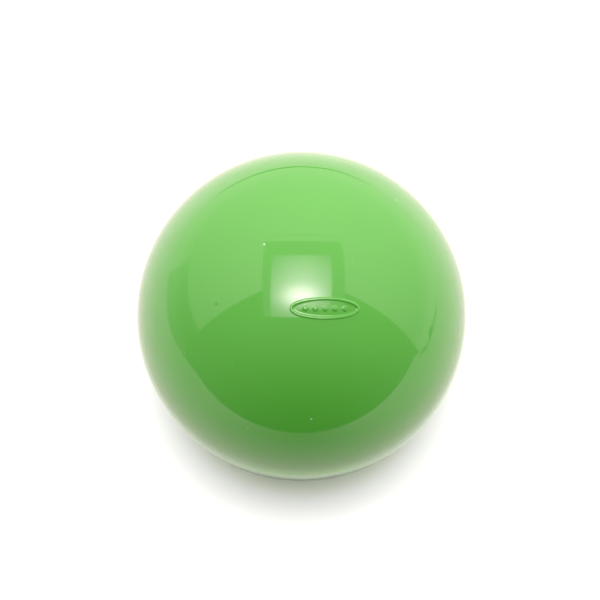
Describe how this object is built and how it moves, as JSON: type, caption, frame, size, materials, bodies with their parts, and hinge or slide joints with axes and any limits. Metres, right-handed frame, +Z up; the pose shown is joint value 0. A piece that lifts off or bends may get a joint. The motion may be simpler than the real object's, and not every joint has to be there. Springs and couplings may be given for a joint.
{
  "type": "croquet ball",
  "caption": "Smooth glossy green ball for croquet: a hard plastic cover in lapped, welded halves over a solid composition core, with a small raised mark near the top.",
  "frame": {"origin": "centre of the ball, in the plane of the weld between the two cover halves", "axes": "+Z is up, square to the weld plane, with the resting flat at the foot on -Z; the raised mark leans from +Z towards -Y and a little to +X"},
  "size_m": [0.0922, 0.0922, 0.0921],
  "materials": {
    "cover_plastic": "gloss",
    "core_composition": "matte"
  },
  "bodies": {
    "root": {"upper_cover": "cover_plastic", "lower_cover": "cover_plastic", "core": "core_composition"}
  },
  "joints": []
}
